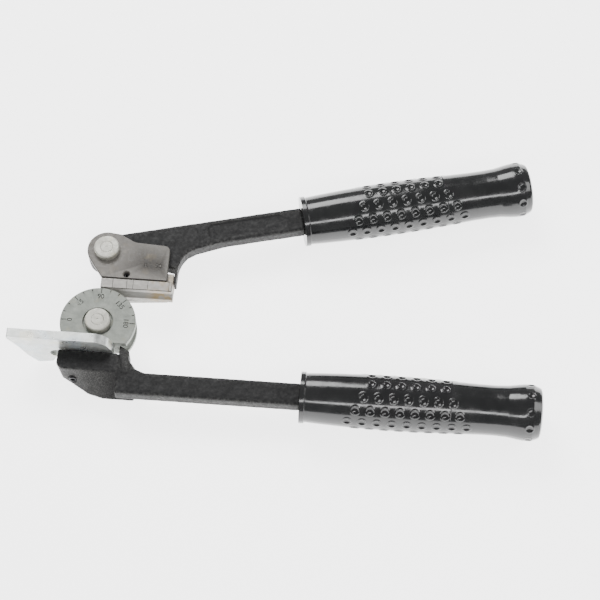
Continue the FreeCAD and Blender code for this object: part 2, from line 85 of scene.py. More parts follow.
SCREW_BORE = 1.5 * MM
SHANK_RADIUS = 4 * MM
HEAD_RADIUS = 6.4 * MM
LATCH_BORE = 2.05                # mm
ROLL_PIN_OUTER = 2.0 * MM
ROLL_PIN_INNER = 1.3 * MM


# ---- mesh helpers ---------------------------------------------------------------------------

def link_mesh(name, mesh):
    piece = bpy.data.objects.new(name, mesh)
    SCENE.collection.objects.link(piece)
    return piece


def from_lists(name, points, faces):
    mesh = bpy.data.meshes.new(name)
    mesh.from_pydata([tuple(p) for p in points], [], faces)
    mesh.update()
    return link_mesh(name, mesh)


def settle(piece):
    """Apply the piece's modifiers to its mesh."""
    graph = bpy.context.evaluated_depsgraph_get()
    graph.update()
    mesh = bpy.data.meshes.new_from_object(piece.evaluated_get(graph))
    piece.modifiers.clear()
    piece.data = mesh
    return piece


def shade(piece, angle=35):
    """Smooth shading that breaks at edges sharper than the angle."""
    piece.data.shade_smooth()
    piece.data.set_sharp_from_angle(angle=math.radians(angle))


def clean(piece, angle=0.6):
    """Join doubled points and dissolve the triangles of flat faces."""
    work = bmesh.new()
    work.from_mesh(piece.data)
    bmesh.ops.remove_doubles(work, verts=work.verts, dist=0.002 * MM)
    bmesh.ops.dissolve_limit(work, angle_limit=math.radians(angle), verts=work.verts, edges=work.edges)
    work.to_mesh(piece.data)
    work.free()


def copy_node(node, name):
    return link_mesh(name, frame["nodes"][node].data.copy())


def bevelled(piece, width, angle=38, segments=3):
    modifier = piece.modifiers.new("edges", "BEVEL")
    modifier.width = width
    modifier.segments = segments
    modifier.limit_method = "ANGLE"
    modifier.angle_limit = math.radians(angle)
    modifier.harden_normals = False
    return settle(piece)


def crisp(piece, angle=32):
    """Even shading over flat faces next to rounded edges."""
    shade(piece, angle)
    modifier = piece.modifiers.new("normals", "WEIGHTED_NORMAL")
    modifier.keep_sharp = True
    modifier.weight = 60
    return settle(piece)


def cut(piece, cutter):
    modifier = piece.modifiers.new("cut", "BOOLEAN")
    modifier.operation = "DIFFERENCE"
    modifier.solver = "EXACT"
    modifier.object = cutter
    settle(piece)
    bpy.data.objects.remove(cutter, do_unlink=True)
    return piece


def joined(name, pieces):
    work = bmesh.new()
    for piece in pieces:
        mesh = piece.data.copy()
        mesh.transform(piece.matrix_basis)
        work.from_mesh(mesh)
        bpy.data.meshes.remove(mesh)
        bpy.data.objects.remove(piece, do_unlink=True)
    mesh = bpy.data.meshes.new(name)
    work.to_mesh(mesh)
    work.free()
    return link_mesh(name, mesh)


def softened(points, radii, steps=6, closed=True):
    """A polyline with its corners rounded; a radius of 0 keeps the corner."""
    result = []
    count = len(points)
    for index, (point, radius) in enumerate(zip(points, radii)):
        here = Vector(point)
        if radius <= 0 or (not closed and index in (0, count - 1)):
            result.append(here)
            continue
        before = Vector(points[index - 1]) - here
        after = Vector(points[(index + 1) % count]) - here
        half = before.angle(after) / 2
        reach = min(radius / math.tan(half), 0.49 * before.length, 0.49 * after.length)
        start = here + before.normalized() * reach
        end = here + after.normalized() * reach
        for step in range(steps + 1):
            share = step / steps
            result.append(start.lerp(here, share).lerp(here.lerp(end, share), share))
    return result


def lathe(name, profile, centre, segments=96):
    """A closed solid turned about +Z from (radius, level) points, on the axis at both ends."""
    points, faces, rings = [], [], []
    for radius, level in profile:
        if radius < 1e-7:
            rings.append([len(points)])
            points.append((centre[0], centre[1], level))
            continue
        ring = []
        for step in range(segments):
            angle = 2 * math.pi * step / segments
            ring.append(len(points))
            points.append((centre[0] + radius * math.cos(angle), centre[1] + radius * math.sin(angle), level))
        rings.append(ring)
    for first, second in zip(rings, rings[1:]):
        for step in range(segments):
            after = (step + 1) % segments
            corners = [first[step % len(first)], first[after % len(first)],
                       second[after % len(second)], second[step % len(second)]]
            faces.append(list(dict.fromkeys(corners)))
    return from_lists(name, points, faces)


def prism(name, outline, place, depth):
    """An outline of (u, v) points made solid; place turns (u, v, w) into the row frame."""
    count = len(outline)
    points = [place @ Vector((u, v, w)) for w in (0, depth) for u, v in outline]
    faces = [list(range(count))[::-1], list(range(count, 2 * count))]
    faces += [[i, (i + 1) % count, count + (i + 1) % count, count + i] for i in range(count)]
    piece = from_lists(name, points, faces)
    work = bmesh.new()
    work.from_mesh(piece.data)
    bmesh.ops.recalc_face_normals(work, faces=work.faces)
    work.to_mesh(piece.data)
    work.free()
    return piece


def block(name, lowest, highest):
    place = Matrix.Translation((0, 0, lowest[2]))
    outline = [(lowest[0], lowest[1]), (highest[0], lowest[1]),
               (highest[0], highest[1]), (lowest[0], highest[1])]
    return prism(name, outline, place, highest[2] - lowest[2])


def figure(body, size, place, depth):
    """Cutter for engraved figures; the text lies in the place's XY plane, its middle at the origin."""
    curve = bpy.data.curves.new(f"figure_{body}", "FONT")
    curve.body = body
    curve.size = size
    curve.align_x = "CENTER"
    curve.align_y = "CENTER"
    curve.extrude = depth
    curve.offset = 0.012 * size
    curve.resolution_u = 3
    holder = bpy.data.objects.new("figure", curve)
    SCENE.collection.objects.link(holder)
    bpy.context.view_layer.update()
    mesh = bpy.data.meshes.new_from_object(holder)
    bpy.data.objects.remove(holder, do_unlink=True)
    mesh.transform(place)
    return link_mesh(f"figure_{body}", mesh)


def edge_attribute(piece, rounds=2):
    """Store how convex the surface is at each point, for worn edges."""
    mesh = piece.data
    count = len(mesh.vertices)
    place = np.empty(count * 3)
    mesh.vertices.foreach_get("co", place)
    normal = np.empty(count * 3)
    mesh.vertices.foreach_get("normal", normal)
    edges = np.empty(len(mesh.edges) * 2, dtype=int)
    mesh.edges.foreach_get("vertices", edges)
    place, normal, edges = place.reshape(-1, 3), normal.reshape(-1, 3), edges.reshape(-1, 2)
    total, share = np.zeros(count), np.zeros(count)
    for first, second in ((edges[:, 0], edges[:, 1]), (edges[:, 1], edges[:, 0])):
        away = place[second] - place[first]
        length = np.linalg.norm(away, axis=1) + 1e-12
        np.add.at(total, first, -np.einsum("ij,ij->i", away, normal[first]) / length)
        np.add.at(share, first, 1)
    convex = total / np.maximum(share, 1)
    for _ in range(rounds):
        spread = convex.copy()
        np.add.at(spread, edges[:, 0], convex[edges[:, 1]])
        np.add.at(spread, edges[:, 1], convex[edges[:, 0]])
        convex = spread / (share + 1)
    layer = mesh.attributes.new("edge", "FLOAT", "POINT")
    layer.data.foreach_set("value", np.clip(convex * 5, 0, 1).astype(np.float32))


# ---- materials ------------------------------------------------------------------------------

class Nodes:
    """A short way to write a node material."""

    def __init__(self, name):
        self.material = bpy.data.materials.new(name)
        self.material.use_nodes = True
        self.tree = self.material.node_tree
        self.shader = self.tree.nodes["Principled BSDF"]
        self.place = self.add("ShaderNodeTexCoord").outputs["Object"]

    def add(self, kind, **settings):
        node = self.tree.nodes.new(kind)
        for key, value in settings.items():
            setattr(node, key, value)
        return node

    def join(self, source, target):
        self.tree.links.new(source, target)

    def scaled(self, stretch):
        mapping = self.add("ShaderNodeMapping")
        mapping.inputs["Scale"].default_value = stretch
        self.join(self.place, mapping.inputs["Vector"])
        return mapping.outputs["Vector"]

    def noise(self, size, detail=4.0, rough=0.55, stretch=(1, 1, 1)):
        """Noise whose features are about the given size in millimetres."""
        node = self.add("ShaderNodeTexNoise")
        node.inputs["Scale"].default_value = 1 / (size * MM)
        node.inputs["Detail"].default_value = detail
        node.inputs["Roughness"].default_value = rough
        self.join(self.scaled(stretch), node.inputs["Vector"])
        return node.outputs["Fac"]

    def spread(self, source, start, end, to_start=0.0, to_end=1.0):
        node = self.add("ShaderNodeMapRange")
        node.interpolation_type = "SMOOTHSTEP"
        limits = {"From Min": start, "From Max": end, "To Min": to_start, "To Max": to_end}
        for socket, value in limits.items():
            node.inputs[socket].default_value = value
        self.join(source, node.inputs["Value"])
        return node.outputs["Result"]

    def times(self, first, second):
        node = self.add("ShaderNodeMath", operation="MULTIPLY")
        for socket, source in zip(node.inputs, (first, second)):
            if isinstance(source, float):
                socket.default_value = source
            else:
                self.join(source, socket)
        return node.outputs[0]

    def mix(self, share, first, second):
        node = self.add("ShaderNodeMix", data_type="RGBA")
        self.join(share, node.inputs["Factor"])
        for socket, source in ((node.inputs[6], first), (node.inputs[7], second)):
            if isinstance(source, tuple):
                socket.default_value = (*source, 1)
            else:
                self.join(source, socket)
        return node.outputs[2]

    def attribute(self, name):
        return self.add("ShaderNodeAttribute", attribute_name=name).outputs["Fac"]

    def axis(self, letter):
        """The coordinate along one axis, in metres."""
        split = self.add("ShaderNodeSeparateXYZ")
        self.join(self.place, split.inputs[0])
        return split.outputs[letter]

    def bump(self, source, height, chain=None):
        node = self.add("ShaderNodeBump")
        node.inputs["Strength"].default_value = 1.0
        node.inputs["Distance"].default_value = height * MM
        self.join(source, node.inputs["Height"])
        if chain:
            self.join(chain, node.inputs["Normal"])
        return node.outputs["Normal"]

    def finish(self, color, roughness, normal, metallic=0.0, **sockets):
        self.join(color, self.shader.inputs["Base Color"])
        self.join(roughness, self.shader.inputs["Roughness"])
        self.join(normal, self.shader.inputs["Normal"])
        self.shader.inputs["Metallic"].default_value = metallic
        for socket, value in sockets.items():
            self.shader.inputs[socket.replace("_", " ")].default_value = value
        return self.material


def forging_material():
    """Black paint over a rough casting: speckle, scuffs, worn grey edges and grey painted light on faces
    turned towards the camera.
    """
    n = Nodes("black_forging")
    grit = n.noise(0.55, 5, 0.65)
    patch = n.noise(9, 4)
    color = n.mix(n.spread(grit, 0.42, 0.72), (0.0018, 0.0018, 0.002), (0.0085, 0.0088, 0.0095))
    color = n.mix(n.times(n.spread(patch, 0.5, 0.7), 0.35), color, (0.012, 0.012, 0.012))
    wear = n.times(n.attribute("edge"), n.spread(n.noise(1.6, 5), 0.42, 0.62))
    color = n.mix(n.times(wear, 0.6), color, (0.15, 0.147, 0.14))
    bare_and_lit_grey = n.mix(n.spread(grit, 0.4, 0.7), (0.018, 0.018, 0.0175), (0.085, 0.083, 0.079))
    # Grey over real scuffs and the bare heel seat, and as painted light on the head's sloping front and on
    # faces turned towards the camera.
    color = n.mix(n.attribute("scuff_and_painted_light"), color, bare_and_lit_grey)
    normal = n.bump(n.noise(0.5, 4, 0.6), 0.10, n.bump(n.noise(3.5, 3), 0.25))
    roughness = n.spread(n.noise(1.4, 4), 0.3, 0.75, 0.5, 0.72)
    return n.finish(color, roughness, normal, 0.0, Specular_IOR_Level=0.35)


def steel_material(name, dark, light, grain, rough, stretch=(1, 1, 1), bump=0.015, metallic=0.9, stain=None):
    """Plain metal with fine grain, cloudy tone, worn edges, painted shade in the engravings and, where given,
    a stain colour.
    """
    n = Nodes(name)
    cloud = n.spread(n.noise(5, 5, 0.6), 0.32, 0.68)
    color = n.mix(cloud, dark, light)
    fine = n.noise(grain, 3, 0.6, stretch)
    color = n.mix(n.times(n.spread(fine, 0.5, 0.75), 0.3), color, tuple(0.45 * c for c in dark))
    if stain:
        color = n.mix(n.times(n.spread(n.noise(7, 4, 0.7), 0.56, 0.7), 0.6), color, stain)
    color = n.mix(n.times(n.attribute("edge"), 0.6), color, tuple(min(1.0, 1.35 * c) for c in light))
    # Engraved floors painted near black as the shade in the cuts.
    color = n.mix(n.times(n.attribute("engraved"), 0.9), color, (0.022, 0.022, 0.020))
    roughness = n.spread(n.noise(2.2, 5), 0.3, 0.7, rough[0], rough[1])
    return n.finish(color, roughness, n.bump(fine, bump), metallic)


def shoe_material():
    """Mottled gunmetal ear with a bright ground rail, stained towards one end, a painted highlight along the
    ear's right edge and painted shade in the marks.
    """
    n = Nodes("gunmetal")
    mottle = n.spread(n.noise(2.2, 7, 0.75), 0.36, 0.64)
    color = n.mix(mottle, (0.014, 0.012, 0.010), (0.070, 0.064, 0.056))
    color = n.mix(n.times(n.spread(n.noise(6, 4), 0.55, 0.75), 0.6), color, (0.11, 0.088, 0.052))
    bright = n.mix(n.noise(0.6, 3, 0.5, (0.06, 1, 1)), (0.25, 0.247, 0.235), (0.38, 0.375, 0.355))
    tint = n.times(n.spread(n.axis("X"), 19 * MM, 27 * MM), n.spread(n.noise(4, 3), 0.4, 0.6))
    bright = n.mix(n.times(tint, 0.75), bright, (0.33, 0.22, 0.07))
    color = n.mix(n.spread(n.axis("Y"), 24.9 * MM, 24.6 * MM), color, bright)
    # The web's end right of the ear takes the bright rail colour: a painted highlight along the ear's right
    # edge.
    color = n.mix(n.spread(n.axis("X"), 32.2 * MM, 32.5 * MM), color, bright)
    color = n.mix(n.times(n.attribute("edge"), 0.6), color, (0.34, 0.325, 0.30))
    # Engraved floors painted near black as the shade in the cuts.
    color = n.mix(n.times(n.attribute("engraved"), 0.8), color, (0.02, 0.018, 0.016))
    fine = n.noise(0.25, 4, 0.6)
    return n.finish(color, n.spread(mottle, 0, 1, 0.42, 0.62), n.bump(fine, 0.02, n.bump(mottle, 0.02)), 0.35)


def latch_material():
    """Bright zinc plate with faint yellow and blue bands."""
    n = Nodes("zinc_plate")
    band = n.noise(11, 2, 0.4, (1, 1, 1.6))
    color = n.mix(n.spread(n.noise(2.5, 5), 0.3, 0.7), (0.38, 0.40, 0.385), (0.52, 0.54, 0.52))
    color = n.mix(n.times(n.spread(band, 0.54, 0.66), 0.45), color, (0.58, 0.54, 0.37))
    color = n.mix(n.times(n.spread(band, 0.46, 0.34), 0.45), color, (0.40, 0.49, 0.56))
    nicks = n.spread(n.noise(0.9, 5, 0.7), 0.68, 0.76)
    color = n.mix(n.times(nicks, 0.5), color, (0.35, 0.36, 0.35))
    color = n.mix(n.times(n.attribute("edge"), 0.5), color, (0.72, 0.73, 0.72))
    normal = n.bump(n.noise(0.35, 3, 0.5), 0.012, n.bump(n.noise(6, 2), 0.12))
    return n.finish(color, n.spread(n.noise(3, 4), 0.3, 0.7, 0.26, 0.42), normal, 0.8)


def grip_material():
    """Glossy black moulded plastic with handling haze and a little dust."""
    n = Nodes("grip_plastic")
    dust = n.times(n.spread(n.noise(0.7, 6, 0.75), 0.64, 0.74), n.spread(n.noise(14, 3), 0.5, 0.66))
    haze = n.spread(n.noise(16, 5), 0.35, 0.7)
    color = n.mix(haze, (0.0055, 0.006, 0.0065), (0.012, 0.0125, 0.013))
    color = n.mix(n.times(dust, 0.4), color, (0.16, 0.155, 0.145))
    roughness = n.spread(n.noise(5, 6, 0.65), 0.35, 0.75, 0.13, 0.27)
    normal = n.bump(n.noise(0.8, 3), 0.006, n.bump(n.noise(7, 2), 0.05))
    return n.finish(color, roughness, normal, 0.0, Coat_Weight=0.25, Coat_Roughness=0.08, IOR=1.5)


MATERIALS = {
    "black_forging": forging_material(),
    "wheel_steel": steel_material("wheel_steel", (0.185, 0.198, 0.178), (0.265, 0.28, 0.252),
                                  0.22, (0.5, 0.62), bump=0.03, metallic=0.3, stain=(0.25, 0.24, 0.18)),
    "oxide_steel": steel_material("oxide_steel", (0.035, 0.035, 0.037), (0.075, 0.075, 0.078),
                                  0.3, (0.38, 0.55)),
    "nickel_pin": steel_material("nickel_pin", (0.34, 0.335, 0.295), (0.46, 0.455, 0.41), 0.3, (0.34, 0.5),
                                 bump=0.01, metallic=0.5, stain=(0.38, 0.34, 0.22)),
    "washer_steel": steel_material("washer_steel", (0.40, 0.40, 0.40), (0.55, 0.55, 0.54), 0.2, (0.3, 0.45)),
    "grip_plastic": grip_material(),
    "gunmetal": shoe_material(),
    "bronze": steel_material("bronze", (0.42, 0.27, 0.12), (0.58, 0.40, 0.20), 0.3, (0.35, 0.5)),
    "zinc_plate": latch_material(),
}


def place_piece(piece, body, slot, nodes, sharp=35, edges=True, flat=False):
    """Finish a piece: material, shading, the body it rides on and the CAD nodes it stands for."""
    piece.data.materials.clear()
    piece.data.materials.append(MATERIALS[slot])
    if flat:
        crisp(piece, sharp)
    else:
        shade(piece, sharp)
    if edges:
        edge_attribute(piece)
    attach(piece, body)
    if nodes:
        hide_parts(*nodes)
    return piece


# ---- grips ----------------------------------------------------------------------------------

GRIP_OUTLINE = [  # along the grip, radius
    (0.0, 0.0), (0.0, 12.8), (2.5, 12.8), (2.6, 12.15), (10, 12.6), (20, 13.05), (32, 13.4), (45, 13.5),
    (60, 13.35), (74, 12.9), (88, 12.45), (96, 12.4), (102, 12.7), (107, 13.5), (110, 13.9), (114.0, 13.92),
    (117.0, 12.7), (117.9, 12.2), (118.5, 10.9), (118.9, 8.0), (119.0, 0.0)]
DIMPLE_PITCH = 7.3
DIMPLE_MIDDLE = 53.0
DIMPLES_IN_ROW = (6, 6, 7, 8, 9, 8, 7, 7, 8, 9, 8, 7)


def grip_profile():
    """Evenly spaced (along, radius) points in mm of the moulded outline with its corners eased."""
    corners = GRIP_OUTLINE[1:-1]
    radii = [0.5, 0.4, 0.3] + [8] * 11 + [1.2, 0.8, 0.5, 0.5, 2]
    eased = [Vector(GRIP_OUTLINE[0])] + softened(corners, radii[:len(corners)], 5, closed=False)
    eased.append(Vector(GRIP_OUTLINE[-1]))
    result = [eased[0]]
    for start, end in zip(eased, eased[1:]):
        steps = max(1, round((end - start).length / 0.3))
        result += [start.lerp(end, (k + 1) / steps) for k in range(steps)]
    return result


def dimple_places():
    """(along, angle, radius, depth) of every dimple, in mm and radians."""
    places = []
    for row, count in enumerate(DIMPLES_IN_ROW):
        angle = math.radians(15 + 30 * row)
        for index in range(count):
            along = DIMPLE_MIDDLE + (index - (count - 1) / 2) * DIMPLE_PITCH
            places.append((along, angle, 1.95, 0.75))
    places += [(112.6, math.radians(36 * k + 12), 1.8, 0.55) for k in range(10)]
    return places


def grip(name, node, body, start, heading):
    profile = grip_profile()
    around = 264
    angles = np.arange(around) * 2 * math.pi / around
    along = np.array([p.x for p in profile])[:, None] * np.ones(around)
    radius = np.array([p.y for p in profile])[:, None] * np.ones(around)
    lift = np.zeros_like(radius)
    for place, angle, size, depth in dimple_places():
        turn = (angles - angle + math.pi) % (2 * math.pi) - math.pi
        away = np.hypot(along - place, turn[None, :] * 13.3) / size
        pit = np.where(away < 1, -depth * (1 - away ** 2) ** 0.75, 0)
        lip = 0.22 * np.exp(-((away - 1.12) / 0.16) ** 2)
        lift += np.where(radius > 9, pit + lip, 0)
    parting = np.exp(-((np.cos(angles) * 13.5) / 0.18) ** 2) * 0.05
    radius = np.minimum(radius + lift + np.where(radius > 9, parting[None, :], 0), 13.99)
    radius[0] = 0
    radius[-1] = 0
    across, up = Vector((-math.sin(heading), math.cos(heading), 0)), Vector((0, 0, 1))
    forward = Vector((math.cos(heading), math.sin(heading), 0))
    side = radius * np.sin(angles)
    rise = radius * np.cos(angles)
    points = [tuple(start)]
    grid = (np.array(start)[None, None, :] + MM * (along[..., None] * np.array(forward)
            + side[..., None] * np.array(across) + rise[..., None] * np.array(up)))
    rows = grid[1:-1].reshape(-1, 3)
    points += [tuple(p) for p in rows]
    points.append(tuple(Vector(start) + forward * along[-1][0] * MM))
    count = len(profile) - 2
    faces = []
    for k in range(around):
        after = (k + 1) % around
        faces.append((0, 1 + k, 1 + after))
        faces.append((len(points) - 1, 1 + (count - 1) * around + after, 1 + (count - 1) * around + k))
    for row in range(count - 1):
        base = 1 + row * around
        for k in range(around):
            after = (k + 1) % around
            faces.append((base + k, base + around + k, base + around + after, base + after))
    piece = from_lists(name, points, faces)
    return place_piece(piece, body, "grip_plastic", [node], sharp=55, edges=False)


def grips():
    middle = (low("form_grip").y + high("form_grip").y) / 2
    grip("form_grip_moulding", "form_grip", "form_handle_body", (low("form_grip").x, middle, MID_LEVEL), 0.0)
    forward = Vector((math.cos(ARM_ANGLE), math.sin(ARM_ANGLE), 0))
    across = Vector((-math.sin(ARM_ANGLE), math.cos(ARM_ANGLE), 0))
    start = HANDLE_AXIS + forward * 101 * MM + across * 2.5 * MM
    grip("shoe_grip_moulding", "shoe_grip", "shoe_handle_body", (start.x, start.y, MID_LEVEL), ARM_ANGLE)


# ---- forgings -------------------------------------------------------------------------------

def forged(node, name, body, shape, scuff_and_painted_light):
    """A forging: the CAD solid with eased edges, a hand-dressed surface, scuffed places and grey painted
    light on faces turned towards the camera.
    """
    piece = copy_node(node, name)
    remesh = piece.modifiers.new("remesh", "REMESH")
    remesh.mode = "VOXEL"
    remesh.voxel_size = 0.42 * MM
    smooth = piece.modifiers.new("smooth", "SMOOTH")
    smooth.factor = 0.5
    smooth.iterations = 7
    settle(piece)
    mesh = piece.data
    count = len(mesh.vertices)
    place = np.empty(count * 3)
    mesh.vertices.foreach_get("co", place)
    normal = np.empty(count * 3)
    mesh.vertices.foreach_get("normal", normal)
    place, normal = place.reshape(-1, 3), normal.reshape(-1, 3)
    place += shape(place / MM, normal) * MM
    mesh.vertices.foreach_set("co", place.ravel())
    # Per-point share of grey: scuffs, the bare seat and painted light on faces turned towards the camera.
    layer = mesh.attributes.new("scuff_and_painted_light", "FLOAT", "POINT")
    layer.data.foreach_set("value", np.clip(scuff_and_painted_light(place / MM, normal), 0, 1).astype(np.float32))
    mesh.update()
    return place_piece(piece, body, "black_forging", [node], sharp=60)


def waves(place, sizes, heights):
    """Gentle unevenness of a hammered surface, from sums of sines."""
    total = np.zeros(len(place))
    for size, height in zip(sizes, heights):
        k = 2 * math.pi / size
        total += height * np.sin(k * place[:, 0] + 1.3 * np.sin(k * 0.7 * place[:, 1]))
        total += height * np.sin(k * 0.83 * place[:, 1] + 1.7 * np.sin(k * 0.6 * place[:, 2] + 1))
    return total


def step(values, start, end):
    share = np.clip((values - start) / (end - start), 0, 1)
    return share * share * (3 - 2 * share)


def form_shape(place, normal):
    uneven = waves(place, (9.0, 4.3), (0.03, 0.02)) - 0.05
    return normal * uneven[:, None]


def form_scuff(place, normal):
    # belly: the sloping front of the head painted grey as the light falling on it; rub: a worn patch on top;
    # flank: painted light on faces turned towards the camera.
    belly = step(normal[:, 2], 0.93, 0.6) * step(place[:, 1], -25, -28) * step(place[:, 0], 14, 2)
    rub = np.exp(-((place[:, 0] - 17) / 5) ** 2 - ((place[:, 1] + 19) / 6) ** 2)
    flank = step(-normal[:, 1], 0.3, 0.8) * step(place[:, 0], 0, 20) * 0.45
    return 0.95 * belly + 0.55 * rub * step(normal[:, 2], 0.2, 0.9) + flank


def arm_frame(place):
    """Distance along and across the shoe arm from the handle pin, in mm."""
    away = place[:, :2] - np.array(HANDLE_AXIS[:2]) / MM
    along = away[:, 0] * math.cos(ARM_ANGLE) + away[:, 1] * math.sin(ARM_ANGLE)
    across = away[:, 1] * math.cos(ARM_ANGLE) - away[:, 0] * math.sin(ARM_ANGLE)
    return along, across


def shoe_arm_shape(place, normal):
    """Uneven surface with a shallow blank panel on the front of the arm."""
    along, across = arm_frame(place)
    reach = np.hypot(np.maximum(np.abs(along - 72) - 16.5, 0), np.maximum(np.abs(across - 2.5) - 1.0, 0))
    panel = step(reach, 3.6, 2.7) * step(normal[:, 2], 0.8, 0.98)
    push = normal * (waves(place, (8.0, 3.9), (0.03, 0.02)) - 0.05)[:, None]
    push[:, 2] -= 0.35 * panel
    return push


def shoe_arm_scuff(place, normal):
    along, across = arm_frame(place)
    heel = step(place[:, 0], 38, 36.5) * step(place[:, 1], 38, 33) * step(place[:, 0], 33, 34)
    seat = heel * step(np.abs(normal[:, 2]) + np.maximum(-normal[:, 0], 0), 0.4, 0.8)
    # seat: the bare heel seat; the second term is painted light on faces turned towards the camera.
    return 0.9 * seat + 0.25 * step(-normal[:, 1], 0.4, 0.9)


def forgings():
    forged("form_handle", "form_handle_forging", "form_handle_body", form_shape, form_scuff)
    forged("shoe_handle", "shoe_handle_forging", "shoe_handle_body", shoe_arm_shape, shoe_arm_scuff)


# ---- wheel and pins -------------------------------------------------------------------------

def wheel_profile():
    """Half section of the grooved wheel, from the middle of its face round to the middle of its back."""
    seat = WHEEL_FACE - 1.5 * MM
    outline = [(0, seat), (7.6 * MM, seat), (7.6 * MM, WHEEL_FACE), (WHEEL_RADIUS, WHEEL_FACE),
               (WHEEL_RADIUS, MID_LEVEL + TUBE_RADIUS)]
    radii = [0, 0.15 * MM, 0.25 * MM, 0.7 * MM, 0.25 * MM]
    top = softened(outline, radii, 5, closed=False)
    arc = []
    for index in range(1, 16):
        angle = math.pi * (0.5 + index / 16)
        arc.append(Vector((WHEEL_RADIUS + TUBE_RADIUS * math.cos(angle),
                           MID_LEVEL + TUBE_RADIUS * math.sin(angle))))
    back = softened([(WHEEL_RADIUS, MID_LEVEL - TUBE_RADIUS), (WHEEL_RADIUS, WHEEL_BACK), (0, WHEEL_BACK)],
                    [0, 0.7 * MM, 0], 5, closed=False)
    return top + arc + back


def dial_cutters():
    """Tick marks every 15 degrees, longer at the figures, and the figures themselves."""
    depth = MARK_DEPTH
    cutters = []
    for mark in range(0, 181, 15):
        angle = math.radians(180 - mark)
        long = mark % 45 == 0
        length = (2.6 if long else 1.3) * MM
        inner = WHEEL_RADIUS - 0.5 * MM - length
        place = Matrix.Rotation(angle, 4, "Z") @ Matrix.Translation((inner, 0, WHEEL_FACE - depth))
        half = 0.19 * MM
        outline = [(0, -half), (length, -half), (length, half), (0, half)]
        cutters.append(prism("tick", outline, place, 2 * depth))
    for mark in range(0, 181, 45):
        angle = math.radians(180 - mark)
        radius = 14.0 * MM
        spot = Matrix.Translation((radius * math.cos(angle), radius * math.sin(angle), WHEEL_FACE))
        turn = Matrix.Rotation(angle - math.pi / 2, 4, "Z")
        cutters.append(figure(str(mark), 3.5 * MM, spot @ turn, depth))
    return joined("dial_cutters", cutters)


def mark_engraved(piece, level, depth, test=None):
    """Store which faces lie inside the engraving, so that they are painted dark as the shade in the cuts."""
    layer = piece.data.attributes.new("engraved", "FLOAT", "FACE")
    for face, item in zip(piece.data.polygons, layer.data):
        inside = level - depth - 0.02 * MM < face.center.z < level - 0.01 * MM
        item.value = 1.0 if inside and (test is None or test(face.center)) else 0.0


def wheel():
    piece = lathe("wheel_turning", wheel_profile(), BEND_AXIS, 192)
    cut(piece, block("flat_cutter", (-0.03, -0.04, WHEEL_BACK - MM), (0.03, -WHEEL_FLAT, WHEEL_FACE + MM)))
    cut(piece, dial_cutters())
    mark_engraved(piece, WHEEL_FACE, MARK_DEPTH, lambda spot: 8.4 * MM < spot.xy.length < 18.4 * MM)
    place_piece(piece, "form_handle_body", "wheel_steel", ["forming_wheel"], sharp=30, flat=True)


def headed_pin(name, node, body, slot, centre):
    """A pin with a softly turned head: eased rim, a shallow turned ring and a centre mark."""
    base, top = low(node).z, high(node).z
    seat = top - (4.0 if node == "main_pin" else 3.0) * MM
    face = [(0, top - 0.25 * MM), (0.5 * MM, top), (2.9 * MM, top), (3.05 * MM, top - 0.12 * MM),
            (3.25 * MM, top), (HEAD_RADIUS, top), (HEAD_RADIUS, seat), (SHANK_RADIUS, seat),
            (SHANK_RADIUS, base), (0, base)]
    radii = [0, 0.1 * MM, 0.05 * MM, 0, 0.05 * MM, 0.75 * MM, 0.15 * MM, 0.1 * MM, 0.3 * MM, 0]
    piece = lathe(name, softened(face, radii, 6, closed=False), centre, 128)
    place_piece(piece, body, slot, [node], sharp=30, flat=True)


def roll_pin():
    """The hollow roll pin: a slotted tube along Y with eased ends."""
    near, far = low("latch_pin"), high("latch_pin")
    outline = []
    slit = math.radians(14)
    for radius, turn in ((ROLL_PIN_OUTER, 1), (ROLL_PIN_INNER, -1)):
        for index in range(49):
            share = index / 48 if turn > 0 else 1 - index / 48
            angle = slit + share * (2 * math.pi - 2 * slit)
            outline.append((radius * math.cos(angle), radius * math.sin(angle)))
    place = Matrix.Translation((LATCH_AXIS.x, far.y, LATCH_AXIS.z)) @ Matrix.Rotation(math.pi / 2, 4, "X")
    piece = prism("latch_roll_pin", outline, place, far.y - near.y)
    bevelled(piece, 0.15 * MM, 50, 2)
    place_piece(piece, "form_handle_body", "oxide_steel", ["latch_pin"], sharp=40, flat=True)


# ---- shoe and link --------------------------------------------------------------------------

def ear_outline():
    """The ear plate from its lower left corner: straight foot, eased shoulder and a round lobe."""
    pin = HANDLE_AXIS / MM
    lobe = LOBE_RADIUS / MM
    foot = (low("slide_shoe").y + EAR_FOOT) / MM
    left, right = RAIL_LEFT / MM, EAR_RIGHT / MM
    shoulder = pin.y + 4.2
    corners = [(left, foot), (right, foot), (right, shoulder), (right - 18, shoulder + 1),
               (pin.x + lobe * 0.62, pin.y + lobe * 0.93)]
    outline = softened(corners, [0.5, 0.5, 3.6, 6, 1.5], 8, closed=False)
    for index in range(24):
        angle = math.radians(78 + index * 6)
        outline.append(Vector((pin.x + lobe * math.cos(angle), pin.y + lobe * math.sin(angle))))
    return [(point.x * MM, point.y * MM) for point in outline]


def rail_outline():
    """Section of the rail in (Y, Z): a block with the half round tube channel in its lower side."""
    inner = low("slide_shoe").y
    outer = inner + RAIL_DEPTH
    reach = math.acos((inner - WHEEL_RADIUS) / TUBE_RADIUS)
    turns = [reach * (k / 12 - 1) for k in range(25)]
    channel = [(WHEEL_RADIUS + TUBE_RADIUS * math.cos(turn), MID_LEVEL + TUBE_RADIUS * math.sin(turn))
               for turn in turns]
    return channel + [(inner, MID_LEVEL + RAIL_HALF), (outer, MID_LEVEL + RAIL_HALF),
                      (outer, MID_LEVEL - RAIL_HALF), (inner, MID_LEVEL - RAIL_HALF)]


def screw_hole(radius, base, top, centre, sink=()):
    """A round cutter about the set screw, with an optional countersink as (radius, level) points."""
    return lathe("screw_hole", [(0, base), (radius, base), *(sink or [(radius, top)]), (0, top)], centre, 48)


